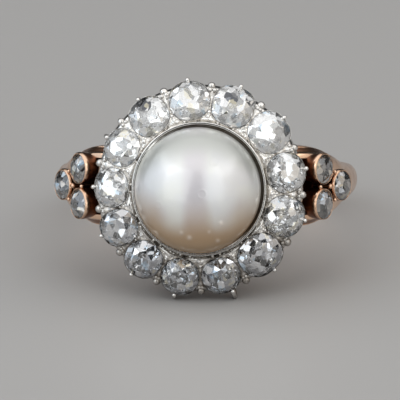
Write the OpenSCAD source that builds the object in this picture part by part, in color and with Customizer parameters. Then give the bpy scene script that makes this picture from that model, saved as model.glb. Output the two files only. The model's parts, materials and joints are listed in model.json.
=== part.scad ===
/* [Band] */
// Diameter of the finger hole
finger_d = 17.0; // [15:0.5:20]
// Thickness of the band at its sides
band_t = 1.0; // [0.8:0.1:1.4]
// Width of the band at the back
band_w = 1.9; // [1.5:0.1:2.6]
// Width across the two shoulder rails
shoulder_w = 5.1; // [4.8:0.1:5.6]
// Width of the slot between the rails
slot_w = 3.4; // [3:0.1:3.6]

/* [Head] */
// Height of the girdle plane of the main diamonds above the finger's axis
girdle_n = 12.1; // [11.9:0.1:12.4]
// Outward lean of each main diamond
stone_lean = 22; // [16:1:26]
// Distance from the head's axis to the inner ends of the main diamonds
inner_reach = 4.22; // [4.2:0.01:4.3]
// Height of the setting's flat underside above the finger's axis
plate_n = 10.43; // [10.4:0.01:10.5]
// Distance of the two lowest claws below the head's axis
foot_drop = 6.68; // [6.6:0.02:6.9]
// Height of the claws' feet above the finger's axis
claw_n = 11; // [10.9:0.05:11.1]

/* [Pearl] */
// Diameter of the button pearl
pearl_d = 7.7; // [7.5:0.02:7.7]
// Height of its dome above its widest place
pearl_up = 3.1; // [2.6:0.1:3.3]
// Depth of its underside below its widest place
pearl_down = 2.6; // [2.3:0.1:2.6]
// Height of its widest place above the finger's axis
pearl_n = 12.65; // [12.6:0.01:12.7]
// Outer diameter of the collet round the pearl
rim_d = 8.12; // [8.08:0.02:8.12]
// Height of the collet's rim above the finger's axis
rim_n = 12.95; // [12.9:0.05:13.1]

/* [Diamonds] */
// Height of the crown of a main diamond
crown_h = 0.52; // [0.4:0.02:0.6]
// Depth of the pavilion of a main diamond
pavilion_h = 1.08; // [0.9:0.02:1.1]
// Diameter of a shoulder diamond
small_d = 1.8; // [1.75:0.05:1.85]
// Distance between the two inner shoulder diamonds of a trefoil
small_pitch = 2.18; // [2.1:0.02:2.2]
// Angle of the trefoil's face from the head's face
trefoil_lean = 55; // [50:1:58]

/* [Hidden] */
$fn = 64;

// Lengths are in millimetres. The ring's own frame has its origin at the centre of the
// finger hole, +X to the right, the head's face towards -Y and the finger's axis along Z.
// In the head's frame Z is the head's axis, away from the finger, and Y runs up the finger.
gap = 0.025;
finger_r = finger_d / 2;
pearl_r = pearl_d / 2;
rim_r = rim_d / 2;
rim_wall = 0.12;

// The thirteen main diamonds, clockwise from the upper left as the head is seen from the
// front. room is the angle that a stone takes, long its length away from the pearl, square
// how far its corners stand out, turn the angle of its facets, off its distance from the
// pearl's collet and claw the angle of its claw from its middle.
ROOM = 0;
LONG = 1;
SQUARE = 2;
TURN = 3;
OFF = 4;
CLAW = 5;
first_edge = 139.1;
//   room, long, square, turn, off, claw
main_stones = [
    [28.3, 2.50, 0.05, 4, 0.00, 0],
    [28.5, 2.56, 0.03, 12, 0.01, 0],
    [29.0, 2.62, 0.08, -6, 0.00, 0],
    [28.7, 2.62, 0.05, 9, 0.04, 1],
    [28.2, 2.50, 0.02, -3, 0.02, 0],
    [28.7, 2.60, 0.03, 15, 0.04, 1],
    [30.6, 2.62, 0.07, 2, 0.08, 0],
    [26.6, 2.42, 0.02, -10, 0.17, 4],
    [25.8, 2.46, 0.03, 7, 0.19, -1],
    [26.0, 2.50, 0.04, 0, 0.17, 0],
    [25.4, 2.50, 0.05, 11, 0.12, 0],
    [27.6, 2.28, 0.03, -5, 0.12, 0],
    [26.6, 2.30, 0.04, 6, 0.07, -1]
];
count = len(main_stones);
lowest_stones = [7, 8];

// Running sum of the rooms before stone i
function room_before(i) = i == 0 ? 0 : room_before(i - 1) + main_stones[i - 1][ROOM];

// Angle of the line between stone i and the one before it
function edge_angle(i) = first_edge - room_before(i);

// Angle of a stone's middle
function stone_angle(i) = edge_angle(i) - main_stones[i][ROOM] / 2;

// Half length of a stone away from the pearl
function half_long(i) = main_stones[i][LONG] / 2;

// Distance of a stone's middle from the head's axis
function stone_reach(i) = inner_reach + half_long(i) * cos(stone_lean) + main_stones[i][OFF];

// Half width of a stone: the widest ellipse that keeps half a shared wall inside its room
wall_between = 0.15;
function half_wide(i) =
    let (
        half_room = main_stones[i][ROOM] / 2,
        space = stone_reach(i) * sin(half_room) - wall_between / 2,
        lean_part = half_long(i) * cos(stone_lean) * sin(half_room)
    )
    sqrt(space * space - lean_part * lean_part) / cos(half_room);

// Point of a stone's outline at angle p, for half sizes a and b: an ellipse whose four
// corners stand out by the share q
function outline(a, b, q, p) =
    let (k = 1 + q * (1 - cos(4 * p)) / 2)
    [a * k * cos(p), b * k * sin(p)];

// Ring of n points along an outline at height z
function outline_ring(a, b, q, n, z) =
    [for (k = [0 : n - 1]) let (p = outline(a, b, q, 360 * k / n)) [p[0], p[1], z]];

// Solid through rings of the same number of points, listed from the bottom up and
// anticlockwise, with a flat cap at each end
module loft(rings) {
    n = len(rings[0]);
    top = len(rings) - 1;
    polyhedron(
        points = [for (ring = rings) each ring],
        faces = [
            [for (k = [0 : n - 1]) k],
            for (j = [0 : top - 1]) for (k = [0 : n - 1]) each [
                [j * n + k, (j + 1) * n + k, (j + 1) * n + (k + 1) % n],
                [j * n + k, (j + 1) * n + (k + 1) % n, j * n + (k + 1) % n]
            ],
            [for (k = [n - 1 : -1 : 0]) top * n + k]
        ]
    );
}

// Old-cut stone with its girdle at z = 0. a and b are its half sizes and q how square it is.
// A table corner, a kite and a pavilion main lie at each eighth of a turn, and the star
// and lower-half corners lie between them. Heights put each kite and each main in one plane.
module old_cut(a, b, q, crown, pavilion, turn = 0, table = 0.53) {
    star = 0.76;
    lower = 0.52;
    culet = 0.1;
    girdle = 0.03;
    between = cos(22.5);
    star_z = crown - (crown - girdle) * (star * between - table) / (1 - table);
    slope = (pavilion - girdle) / (1 - culet * between);
    lower_z = -girdle - slope * (1 - lower * between);
    function corner(share, z, eighths) =
        let (p = outline(a, b, q, turn + 45 * eighths))
        [p[0] * share, p[1] * share, z];
    // First index of each group of points
    T = 0;
    S = 8;
    G = 16;
    H = 32;
    L = 48;
    C = 56;
    polyhedron(
        points = [
            for (k = [0 : 7]) corner(table, crown, k),
            for (k = [0 : 7]) corner(star, star_z, k + 0.5),
            for (k = [0 : 15]) corner(1, girdle, k / 2),
            for (k = [0 : 15]) corner(1, -girdle, k / 2),
            for (k = [0 : 7]) corner(lower, lower_z, k + 0.5),
            for (k = [0 : 7]) corner(culet, -pavilion, k + 0.5)
        ],
        faces = [
            [for (k = [7 : -1 : 0]) T + k],
            [for (k = [0 : 7]) C + k],
            for (k = [0 : 7])
                let (next = (k + 1) % 8, before = (k + 7) % 8, g = 2 * k, g1 = g + 1, g2 = (g + 2) % 16)
                each [
                    [T + k, T + next, S + k],
                    [T + k, S + k, G + g],
                    [T + k, G + g, S + before],
                    [S + k, G + g1, G + g],
                    [S + k, G + g2, G + g1],
                    [G + g, G + g1, H + g1],
                    [G + g, H + g1, H + g],
                    [G + g1, G + g2, H + g2],
                    [G + g1, H + g2, H + g1],
                    [L + k, H + g, H + g1],
                    [L + k, H + g1, H + g2],
                    [H + g, L + k, C + k],
                    [H + g, C + k, C + before],
                    [H + g, C + before, L + before]
                ]
        ]
    );
}

// Where the ring rests: the two lowest claws and the back of the band share one level.
// The band's back is half an ellipse, and support is its reach along a line that leans by t.
band_in = finger_r + 0.25;
band_back_h = finger_r + band_t + 0.1 - band_in;
foot_r = 0.16;
function support(t) = sqrt(pow(band_w / 2 * cos(t), 2) + pow(band_back_h * sin(t), 2));
function settled(t, left) =
    left == 0 ? t : settled(asin((foot_r + foot_drop * cos(t) - support(t)) / (claw_n + band_in)), left - 1);
tilt = settled(16, 8);
lift = band_in * sin(tilt) + support(tilt);

// Forward and backward reach of the laid ring, whose middle is the origin
front_y = -pearl_n * cos(tilt) - sqrt(pow(pearl_up * cos(tilt), 2) + pow(pearl_r * sin(tilt), 2));
back_y = band_in * cos(tilt) + sqrt(pow(band_back_h * cos(tilt), 2) + pow(band_w / 2 * sin(tilt), 2));
shift_y = -(front_y + back_y) / 2;

// Lays the ring on its side, on its two lowest claws and the back of its band
module laid() {
    translate([0, shift_y, lift])
        rotate([-tilt, 0, 0])
            children();
}

// Head's frame in the ring's own frame
module head() {
    rotate([90, 0, 0])
        children();
}

// Girdle plane of main stone i: X points away from the pearl, Z out of the stone
module at_stone(i) {
    angle = stone_angle(i);
    translate([stone_reach(i) * cos(angle), stone_reach(i) * sin(angle), girdle_n])
        rotate([0, 0, angle])
            rotate([0, stone_lean, 0])
                children();
}

// Trefoils: the place of a trefoil's middle in the head's frame and of its stones round it
trefoil_x = 7.95;
trefoil_n = 9.12;
small_r = small_d / 2;
small_inner = -small_pitch * sqrt(3) / 6;
small_outer = small_pitch * sqrt(3) / 3;
//   away from the head, up the finger
small_places = [
    [small_inner, small_pitch / 2],
    [small_inner, -small_pitch / 2],
    [small_outer, 0]
];

// Trefoil's frame: X points away from the head, Y up the finger and Z out of the stones
module at_trefoil(side) {
    mirror([side < 0 ? 1 : 0, 0, 0])
        translate([trefoil_x, 0, trefoil_n])
            rotate([0, trefoil_lean, 0])
                children();
}

// Half width, outer radius and squareness of the band at angles from the head's axis
ANGLE = 0;
HALF_W = 1;
OUTER = 2;
FLAT = 3;
half_head = shoulder_w / 2;
half_back = band_w / 2;
side_r = finger_r + band_t;
head_seat = plate_n - 0.03;
//   angle, half width, outer radius, exponent of the outer curve
band_stations = [
    [0, half_head, head_seat, 6],
    [14, half_head, 10.72, 6],
    [27, half_head, 11.6, 6],
    [36, half_head - 0.03, 11.62, 5.5],
    [43, half_head - 0.22, 11.3, 4.5],
    [52, half_head - 0.62, 10.7, 3.6],
    [64, half_back + 0.42, 9.98, 2.8],
    [80, half_back + 0.1, side_r + 0.05, 2.3],
    [100, half_back, side_r, 2],
    [180, half_back, side_r + 0.1, 2]
];

// Row of the band's table whose stretch holds an angle
function band_row(angle, i = 0) =
    i >= len(band_stations) - 2 || angle < band_stations[i + 1][ANGLE] ? i : band_row(angle, i + 1);

// Slope of a column at a row, from its neighbours; level at both ends
function band_slope(i, column) =
    i == 0 || i == len(band_stations) - 1
        ? 0
        : (band_stations[i + 1][column] - band_stations[i - 1][column])
            / (band_stations[i + 1][ANGLE] - band_stations[i - 1][ANGLE]);

// Smooth value of a column at an angle, by a cubic through the two rows round it
function band_value(angle, column) =
    let (
        i = band_row(angle),
        low = band_stations[i],
        high = band_stations[i + 1],
        run = high[ANGLE] - low[ANGLE],
        s = (angle - low[ANGLE]) / run
    )
    low[column] * (1 + 2 * s) * pow(1 - s, 2)
        + high[column] * s * s * (3 - 2 * s)
        + run * s * (1 - s) * (band_slope(i, column) * (1 - s) - band_slope(i + 1, column) * s);

// Half of the power curve: x and y shares at angle p
function power_curve(p, n) =
    [sign(cos(p)) * pow(abs(cos(p)), 2 / n), pow(abs(sin(p)), 2 / n)];

// Section of the band at an angle from the head's axis: a flat inner side, which the finger
// hole cuts later, and a crowned outer side. Each point is in the head's frame.
section_arcs = 10;
inner_spare = 0.5;
inner_bevel = 0.2;
function band_section(angle) =
    let (
        from_head = angle > 180 ? 360 - angle : angle,
        w = band_value(from_head, HALF_W),
        outer = band_value(from_head, OUTER),
        n = band_value(from_head, FLAT),
        flat = [
            [-w + inner_bevel, finger_r - inner_spare],
            [w - inner_bevel, finger_r - inner_spare],
            for (k = [0 : section_arcs])
                let (c = power_curve(180 * k / section_arcs, n))
                [w * c[0], band_in + (outer - band_in) * c[1]]
        ]
    )
    [for (p = flat) [p[1] * sin(angle), p[0], p[1] * cos(angle)]];

// Whole hoop as one closed sweep of the band's section
band_step = 5;
module band_sweep() {
    angles = [0 : band_step : 359];
    rings = [for (angle = angles) band_section(angle)];
    n = len(rings[0]);
    m = len(rings);
    polyhedron(
        points = [for (ring = rings) each ring],
        faces = [
            for (j = [0 : m - 1]) for (k = [0 : n - 1])
                let (a = j * n, b = (j + 1) % m * n, next = (k + 1) % n)
                each [[a + k, b + k, b + next], [a + k, b + next, a + next]]
        ]
    );
}

// Space between the two rails of both shoulders, down to the hoop
floor_r = finger_r + 0.85;
slot_reach = 6.75;
slot_top = 14;
module rail_slot() {
    rotate([90, 0, 0])
        linear_extrude(slot_w, center = true)
            difference() {
                translate([-slot_reach, 0])
                    square([2 * slot_reach, slot_top]);
                circle(floor_r);
            }
}

// Plain ring that joins the ends of the rails under the setting
gallery_out = 5.75;
gallery_in = 4.35;
gallery_h = 0.45;
module gallery_ring() {
    translate([0, 0, head_seat - gallery_h])
        difference() {
            cylinder(r = gallery_out, h = gallery_h);
            translate([0, 0, -1])
                cylinder(r = gallery_in, h = gallery_h + 2);
        }
}

// Outer body of a trefoil cup, and the seat that is cut into it
cup_wall = 0.12;
cup_depth = 1.25;
cup_lip = 0.07;
cup_straight = 0.25;
cup_foot = 0.74;
seat_r = small_r + gap;
seat_drop = 0.06;
small_crown = 0.34;
small_pavilion = 0.72;
module cup_body() {
    cup_r = seat_r + cup_wall;
    translate([0, 0, -cup_depth])
        cylinder(r1 = cup_r * cup_foot, r2 = cup_r, h = cup_depth - cup_straight);
    translate([0, 0, -cup_straight - 0.01])
        cylinder(r = cup_r, h = cup_straight + 0.01 + cup_lip);
}
module cup_seat() {
    translate([0, 0, -small_pavilion - seat_drop])
        cylinder(r1 = small_r * 0.16, r2 = seat_r, h = small_pavilion);
    translate([0, 0, -seat_drop - 0.001])
        cylinder(r = seat_r, h = 1);
}

// Grains that hold the shoulder stones: one on a stem in the middle of the trefoil, and one
// in each corner between two cups
grain_r = 0.17;
grain_up = 0.02;
module trefoil_grains() {
    corner = small_pitch * 0.46;
    translate([0, 0, grain_up])
        sphere(grain_r + 0.04);
    translate([0, 0, -cup_depth])
        cylinder(r = grain_r, h = cup_depth);
    for (a = [-60, 60, 180])
        translate([corner * cos(a), corner * sin(a), grain_up])
            sphere(grain_r);
}

// Band, rails, gallery, cups and grains, soldered into one piece. A well in the hoop's top
// leaves room for the pearl's collet.
well_depth = 0.9;
module shank() color([0.80, 0.52, 0.38]) laid() head() {
    difference() {
        union() {
            difference() {
                band_sweep();
                rail_slot();
                translate([0, 0, plate_n - well_depth])
                    cylinder(r = rim_r + 0.05, h = 3);
            }
            gallery_ring();
            for (side = [-1, 1]) at_trefoil(side) {
                for (place = small_places)
                    translate([place[0], place[1], 0])
                        cup_body();
                trefoil_grains();
            }
        }
        rotate([90, 0, 0])
            cylinder(r = finger_r, h = 12, center = true);
        for (side = [-1, 1]) at_trefoil(side)
            for (place = small_places)
                translate([place[0], place[1], 0])
                    cup_seat();
    }
}

// Outer body of the collet of stone i, a tapering cup without its seat
collet_wall = 0.13;
collet_lip = 0.1;
collet_sides = 16;
module collet_body(i) {
    a = half_long(i) + collet_wall;
    b = half_wide(i) + collet_wall;
    q = main_stones[i][SQUARE];
    n = collet_sides;
    loft([
        outline_ring(a * 0.6, b * 0.6, q, n, -1.42),
        outline_ring(a * 0.95, b * 0.95, q, n, -0.42),
        outline_ring(a, b, q, n, -0.12),
        outline_ring(a - 0.03, b - 0.03, q, n, collet_lip)
    ]);
}

// Space of stone i with its clearance, and the open back of its collet
module collet_seat(i) {
    a = half_long(i) + gap;
    b = half_wide(i) + gap;
    q = main_stones[i][SQUARE];
    n = collet_sides;
    loft([
        outline_ring(a * 0.3, b * 0.3, q, n, -3),
        outline_ring(a * 0.3, b * 0.3, q, n, -0.9),
        outline_ring(a * 1.01, b * 1.01, q, n, -0.06),
        outline_ring(a * 1.01, b * 1.01, q, n, 0.06),
        outline_ring(a + 0.04, b + 0.04, q, n, 1)
    ]);
}

// Straight tapering rod from one point to another, with a radius at each end
module rod(from, to, r1, r2) {
    d = to - from;
    length = norm(d);
    translate(from)
        rotate([0, acos(d[2] / length), atan2(d[1], d[0])])
            cylinder(r1 = r1, r2 = r2, h = length);
}

// Point at an angle round the head's axis
function around(reach, angle, n) = [reach * cos(angle), reach * sin(angle), n];

// Claw of stone i: a rod from the plate to a round foot outside the collet, and a second
// one from there up to a round tip at the stone's edge. The claws of the two lowest stones
// reach the one level that the ring rests on.
claw_reach = 6.6;
claw_r = 0.14;
claw_tip_r = 0.11;
claw_neck = 0.92;
module claw(i) {
    angle = stone_angle(i) + main_stones[i][CLAW];
    lowest = len(search(i, lowest_stones)) > 0;
    edge = half_long(i) + 0.08;
    root = around(plate_top_r, angle, plate_n + plate_bevel);
    foot = around(lowest ? foot_drop / -sin(angle) : claw_reach, angle, claw_n);
    foot_size = lowest ? foot_r : claw_r;
    tip = around(
        stone_reach(i) + edge * cos(stone_lean),
        stone_angle(i),
        girdle_n - edge * sin(stone_lean) + claw_tip_r
    );
    translate(foot)
        sphere(foot_size);
    translate(tip)
        sphere(claw_tip_r);
    rod(foot, tip, foot_size * claw_neck, claw_tip_r * claw_neck);
    rod(root, foot, foot_size + 0.04, foot_size * claw_neck);
}

// Four corners of a wedge: half width a at the inner end and b at the outer end, with each
// end's reach and height
function wedge_corners(inner, inner_n, a, outer, outer_n, b) =
    [[inner, -a, inner_n], [outer, -b, outer_n], [outer, b, outer_n], [inner, a, inner_n]];

// Beads on a wedge between stone i and the one before it, and the grain at its inner end
bead_r = 0.27;
side_bead_r = 0.16;
inner_grain_r = 0.2;
bead_place = [6.34, 0, 11.62];
side_bead_place = [6.12, 0.2, 11.8];
grain_place = [4.46, 0, 12.42];
module bead_group(i) {
    rotate([0, 0, edge_angle(i)]) {
        loft([
            wedge_corners(4.9, plate_n + 0.4, 0.1, 6, plate_n + 0.4, 0.32),
            wedge_corners(4.9, 11.9, 0.06, 6.3, 11.46, 0.34),
            wedge_corners(5, 11.96, 0.03, 6.2, 11.7, 0.2)
        ]);
        translate(bead_place)
            sphere(bead_r);
        for (side = [-1, 1])
            translate([side_bead_place[0], side * side_bead_place[1], side_bead_place[2]])
                sphere(side_bead_r);
        translate(grain_place)
            sphere(inner_grain_r);
    }
}

// Plate under the collets and the wall that stands round the pearl's collet. Its inner side
// is trimmed with the rest of the setting.
setting_in = rim_r + 0.03;
trim = 0.5;
plate_r = 5.7;
plate_top_r = 5.9;
plate_bevel = 0.35;
plate_t = 0.6;
wall_t = 0.5;
wall_top_t = 0.14;
wall_n = 12.5;
wall_bevel = 0.4;
module setting_base() {
    rotate_extrude($fn = 48)
        polygon([
            [setting_in - trim, plate_n],
            [plate_r, plate_n],
            [plate_top_r + 0.15, plate_n + plate_bevel],
            [plate_top_r, plate_n + plate_t],
            [setting_in + wall_t, plate_n + plate_t],
            [setting_in + wall_t, wall_n - wall_bevel],
            [setting_in + wall_top_t, wall_n],
            [setting_in - trim, wall_n]
        ]);
}

// Collets, claws, beads and plate of the cluster, soldered into one piece
module cluster_setting() color([0.80, 0.80, 0.82]) laid() head() {
    difference() {
        union() {
            setting_base();
            for (i = [0 : count - 1]) {
                at_stone(i)
                    collet_body(i);
                claw(i);
                bead_group(i);
            }
        }
        for (i = [0 : count - 1])
            at_stone(i)
                collet_seat(i);
        translate([0, 0, plate_n - 1])
            cylinder(r = setting_in, h = 4);
    }
}

// Plain collet round the pearl: a bowl with an upright rim and the peg that holds the pearl
peg_r = 0.4;
peg_h = 2;
cup_bottom_n = 9.62;
cup_bottom_r = 2.6;
cup_floor_t = 0.3;
bowl_r = rim_r - rim_wall;
bowl_down = pearl_n - cup_bottom_n - cup_floor_t;
module pearl_cup() color([0.78, 0.77, 0.76]) laid() head() {
    rotate_extrude()
        polygon([
            [0, cup_bottom_n],
            [cup_bottom_r, cup_bottom_n],
            [rim_r - 0.51, cup_bottom_n + 0.7],
            [rim_r - 0.05, 11.2],
            [rim_r, rim_n - 0.1],
            [rim_r - 0.04, rim_n],
            [bowl_r + 0.03, rim_n],
            for (p = [0 : -9 : -90]) [bowl_r * cos(p), pearl_n + bowl_down * sin(p)]
        ]);
    translate([0, 0, cup_bottom_n + 0.1])
        cylinder(r = peg_r, h = peg_h - 0.1);
}

// Button pearl: an upper and a lower half ellipse, drilled for the peg. It sits a little
// to the lower left in its collet.
pearl_place = [-0.045, -0.035, pearl_n];
module pearl() color([0.92, 0.88, 0.84]) laid() head() {
    difference() {
        translate(pearl_place)
            rotate_extrude()
                polygon([
                    for (p = [-90 : 6 : 90])
                        [pearl_r * cos(p), (p < 0 ? pearl_down : pearl_up) * sin(p)]
                ]);
        translate([0, 0, cup_bottom_n])
            cylinder(r = peg_r + 0.05, h = peg_h + 0.1);
    }
}

module diamond(i) color([0.85, 0.90, 0.95]) laid() head() {
    at_stone(i)
        old_cut(
            half_long(i), half_wide(i), main_stones[i][SQUARE],
            crown_h, pavilion_h, main_stones[i][TURN]
        );
}

module shoulder_diamond(side, k) color([0.85, 0.88, 0.90]) laid() head() {
    at_trefoil(side)
        translate([small_places[k][0], small_places[k][1], 0])
            old_cut(small_r, small_r, 0, small_crown, small_pavilion, 10 * k, 0.45);
}

module diamond_01() diamond(0);
module diamond_02() diamond(1);
module diamond_03() diamond(2);
module diamond_04() diamond(3);
module diamond_05() diamond(4);
module diamond_06() diamond(5);
module diamond_07() diamond(6);
module diamond_08() diamond(7);
module diamond_09() diamond(8);
module diamond_10() diamond(9);
module diamond_11() diamond(10);
module diamond_12() diamond(11);
module diamond_13() diamond(12);
module shoulder_diamond_left_1() shoulder_diamond(-1, 0);
module shoulder_diamond_left_2() shoulder_diamond(-1, 1);
module shoulder_diamond_left_3() shoulder_diamond(-1, 2);
module shoulder_diamond_right_1() shoulder_diamond(1, 0);
module shoulder_diamond_right_2() shoulder_diamond(1, 1);
module shoulder_diamond_right_3() shoulder_diamond(1, 2);

shank();
cluster_setting();
pearl_cup();
pearl();
diamond_01();
diamond_02();
diamond_03();
diamond_04();
diamond_05();
diamond_06();
diamond_07();
diamond_08();
diamond_09();
diamond_10();
diamond_11();
diamond_12();
diamond_13();
shoulder_diamond_left_1();
shoulder_diamond_left_2();
shoulder_diamond_left_3();
shoulder_diamond_right_1();
shoulder_diamond_right_2();
shoulder_diamond_right_3();
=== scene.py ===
"""Pearl and diamond cluster ring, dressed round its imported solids.

Shapes are worked out in millimetres in the head's frame: X to the right, A up the finger and
N away from the finger, from the centre of the finger hole. They become metres in the shared
frame when a mesh is made.
"""

import json
import math

import bmesh
import bpy
import numpy as np
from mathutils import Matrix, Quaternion, Vector


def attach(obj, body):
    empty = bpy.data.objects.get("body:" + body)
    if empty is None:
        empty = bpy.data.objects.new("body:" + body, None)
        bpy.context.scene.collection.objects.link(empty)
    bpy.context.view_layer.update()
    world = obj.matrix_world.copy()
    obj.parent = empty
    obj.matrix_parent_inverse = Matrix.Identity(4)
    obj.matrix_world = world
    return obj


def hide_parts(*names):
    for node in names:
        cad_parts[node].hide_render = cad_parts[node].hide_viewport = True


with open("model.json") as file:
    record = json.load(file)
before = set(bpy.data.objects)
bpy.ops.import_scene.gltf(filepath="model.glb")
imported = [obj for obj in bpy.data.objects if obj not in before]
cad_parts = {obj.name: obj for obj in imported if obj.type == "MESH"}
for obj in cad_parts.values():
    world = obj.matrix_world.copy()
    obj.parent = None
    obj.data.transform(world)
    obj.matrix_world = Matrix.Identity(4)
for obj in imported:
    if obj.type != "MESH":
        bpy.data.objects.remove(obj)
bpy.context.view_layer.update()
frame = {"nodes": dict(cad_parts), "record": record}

MM = 0.001
TURN = 2 * math.pi

# The finger hole gives the head's frame
bore = frame["record"]["mounts"][0]
CENTRE = np.array(bore["pos_m"])
UP_FINGER = np.array(bore["axis"]) / np.linalg.norm(bore["axis"])
ACROSS = np.array([1.0, 0.0, 0.0])
OUTWARD = np.cross(ACROSS, UP_FINGER)
AXES = np.array([ACROSS, UP_FINGER, OUTWARD])


def to_shared(points):
    """Points of the head's frame as metres in the shared frame: centre + x X + a A + n N."""
    return CENTRE + MM * (np.asarray(points) @ AXES)


def to_head(points):
    """Points of the shared frame, in metres, as millimetres in the head's frame."""
    return (np.asarray(points) - CENTRE) / MM @ AXES.T


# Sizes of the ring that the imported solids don't state, in millimetres

FINGER_R = 8.5
SIDE_R = 9.5
PLATE_N = 10.43
HEAD_SEAT = PLATE_N - 0.03
RIM_R = 4.06
RIM_N = 12.95
RIM_WALL = 0.12
RIM_TOP_R = 4.13
PEARL_R = 3.85
PEARL_UP = 3.1
PEARL_DOWN = 2.6
PEARL_N = 12.65
PEARL_PLACE = np.array([-0.06, -0.045, PEARL_N])
PEG_R = 0.4
PEG_TOP = 11.72
CUP_BOTTOM = 9.62
SLOT_W = 3.4
SLOT_FLOOR_R = FINGER_R + 0.85
BAND_IN = FINGER_R + 0.25
STONE_GAP = 0.025
TREFOIL_X = 7.95
TREFOIL_N = 9.12
TREFOIL_LEAN = math.radians(55)
SMALL_R = 0.9
SMALL_PITCH = 2.18

MAIN = [f"diamond_{i:02d}" for i in range(1, 14)]
SMALL = [f"shoulder_diamond_{side}_{k}" for side in ("left", "right") for k in (1, 2, 3)]


# Meshes from grids of points


MERGED = 1e-7


class Casting:
    """One mesh gathered from grids of points. Each point has a darkness, 0 on open metal and 1
    in a hollow, which the finish reads as a per-point attribute. On metal it is partly tarnish
    and partly painted shade, in hollows, under parts and on sides that get less light; on the
    pearl it marks blemishes."""

    def __init__(self, name):
        self.name = name
        self.points = []
        self.faces = []
        self.grime_and_shade = []
        self.count = 0

    def grid(self, points, loop_u=False, capped=True, grime_and_shade=0.0):
        """Quads through points[u, v]. The last column joins the first, and with loop_u so does
        the last row. Without it, capped closes the two ends of u with one flat face each."""
        rows, columns = points.shape[:2]
        index = self.count + np.arange(rows * columns).reshape(rows, columns)
        u = np.arange(rows if loop_u else rows - 1)
        v = np.arange(columns)
        next_u, next_v = (u + 1) % rows, (v + 1) % columns
        corners = [
            index[u[:, None], v], index[u[:, None], next_v],
            index[next_u[:, None], next_v], index[next_u[:, None], v],
        ]
        self.faces += np.stack(corners, -1).reshape(-1, 4).tolist()
        if capped and not loop_u:
            self.faces += [index[0, ::-1].tolist(), index[-1].tolist()]
        self.points.append(points.reshape(-1, 3))
        grime_and_shade = np.broadcast_to(grime_and_shade, (rows, columns)).reshape(-1)
        self.grime_and_shade.append(grime_and_shade.astype(np.float32))
        self.count += rows * columns

    def made(self, finish, stands_for, sharp=40):
        """Makes the finished piece. Doubles at poles and seams are merged and faces turned
        outwards; edges sharper than sharp degrees stay crisp."""
        mesh = bpy.data.meshes.new(self.name)
        mesh.from_pydata(to_shared(np.concatenate(self.points)), [], self.faces)
        grime_and_shade = mesh.attributes.new("grime_and_shade", "FLOAT", "POINT")
        grime_and_shade.data.foreach_set("value", np.concatenate(self.grime_and_shade))
        work = bmesh.new()
        work.from_mesh(mesh)
        bmesh.ops.remove_doubles(work, verts=work.verts, dist=MERGED)
        bmesh.ops.recalc_face_normals(work, faces=work.faces)
        work.to_mesh(mesh)
        work.free()
        mesh.shade_smooth()
        mesh.set_sharp_from_angle(angle=math.radians(sharp))
        piece = bpy.data.objects.new(self.name, mesh)
        bpy.context.scene.collection.objects.link(piece)
        mesh.materials.append(finish)
        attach(piece, "root")
        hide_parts(*stands_for)


BALL_SIDES = 14
ROD_BOW = (75, 50, 25)
NEVER_OUT = (0.31, 0.92, 0.23)


def circle(steps):
    """Angles round a whole turn, without the last."""
    return np.linspace(0, TURN, steps, endpoint=False)


def revolve(profile, steps):
    """Profile rows (r, n) turned round the axis: (r cos p, r sin p, n)."""
    r, n = np.asarray(profile).T[:, :, None]
    p = circle(steps)
    return np.stack([r * np.cos(p), r * np.sin(p), n + 0 * p], -1)


def eased(corners, steps=4):
    """Polyline through rows (x, y, ease) whose corners become short quadratic curves. Each
    starts and ends ease away from its corner, at most half way to the next one."""
    corners = np.asarray(corners, float)
    t = np.linspace(0, 1, steps + 1)[:, None]
    line = [corners[:1, :2]]
    for before, here, after in zip(corners[:-2], corners[1:-1], corners[2:]):
        back, on = before[:2] - here[:2], after[:2] - here[:2]
        start = here[:2] + back * min(0.5, here[2] / np.linalg.norm(back))
        end = here[:2] + on * min(0.5, here[2] / np.linalg.norm(on))
        line.append((1 - t) ** 2 * start + 2 * t * (1 - t) * here[:2] + t ** 2 * end)
    line.append(corners[-1:, :2])
    return np.concatenate(line)


def ball_rows(sides):
    """Rows of points on a ball with so many sides, its poles among them."""
    return sides // 2 + 2


def ball(middle, radius, sides=BALL_SIDES, flat=1.0, out=(0, 0, 1)):
    """Sphere: middle + radius (sin q cos p, sin q sin p, flat cos q) with its poles along
    the direction out."""
    out = np.asarray(out, float) / np.linalg.norm(out)
    side = np.cross(NEVER_OUT, out)
    side /= np.linalg.norm(side)
    q = np.linspace(0, math.pi, ball_rows(sides))[:, None]
    p = circle(sides)
    x, y, z = np.sin(q) * np.cos(p), np.sin(q) * np.sin(p), flat * np.cos(q) + 0 * p
    turned = np.stack([x, y, z], -1) @ np.array([side, np.cross(out, side), out])
    return np.asarray(middle) + radius * turned


def rod(path, radii, side):
    """Round bar along a flat path that lies square to the direction side. Each section is
    path + r (cos p side + sin p (side x tangent)), and both ends are half balls."""
    path, radii = np.asarray(path, float), np.asarray(radii, float)
    tangent = np.gradient(path, axis=0)
    tangent /= np.linalg.norm(tangent, axis=1)[:, None]
    bow = np.radians(ROD_BOW)
    start = path[0] - radii[0] * np.sin(bow)[:, None] * tangent[0]
    end = path[-1] + radii[-1] * np.sin(bow)[::-1, None] * tangent[-1]
    path = np.concatenate([start, path, end])
    radii = np.concatenate([radii[0] * np.cos(bow), radii, radii[-1] * np.cos(bow)[::-1]])
    ends = len(bow)
    tangent = np.concatenate([tangent[:1].repeat(ends, 0), tangent, tangent[-1:].repeat(ends, 0)])
    other = np.cross(side, tangent)[:, None]
    p = circle(BALL_SIDES)[:, None]
    return path[:, None] + radii[:, None, None] * (np.cos(p) * side + np.sin(p) * other)


def smoothstep(low, high, x):
    """0 below low, 1 above high and 3t^2 - 2t^3 between."""
    t = np.clip((x - low) / (high - low), 0, 1)
    return t * t * (3 - 2 * t)


# Stones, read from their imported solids


GIRDLE_CORNERS = 16


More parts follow.
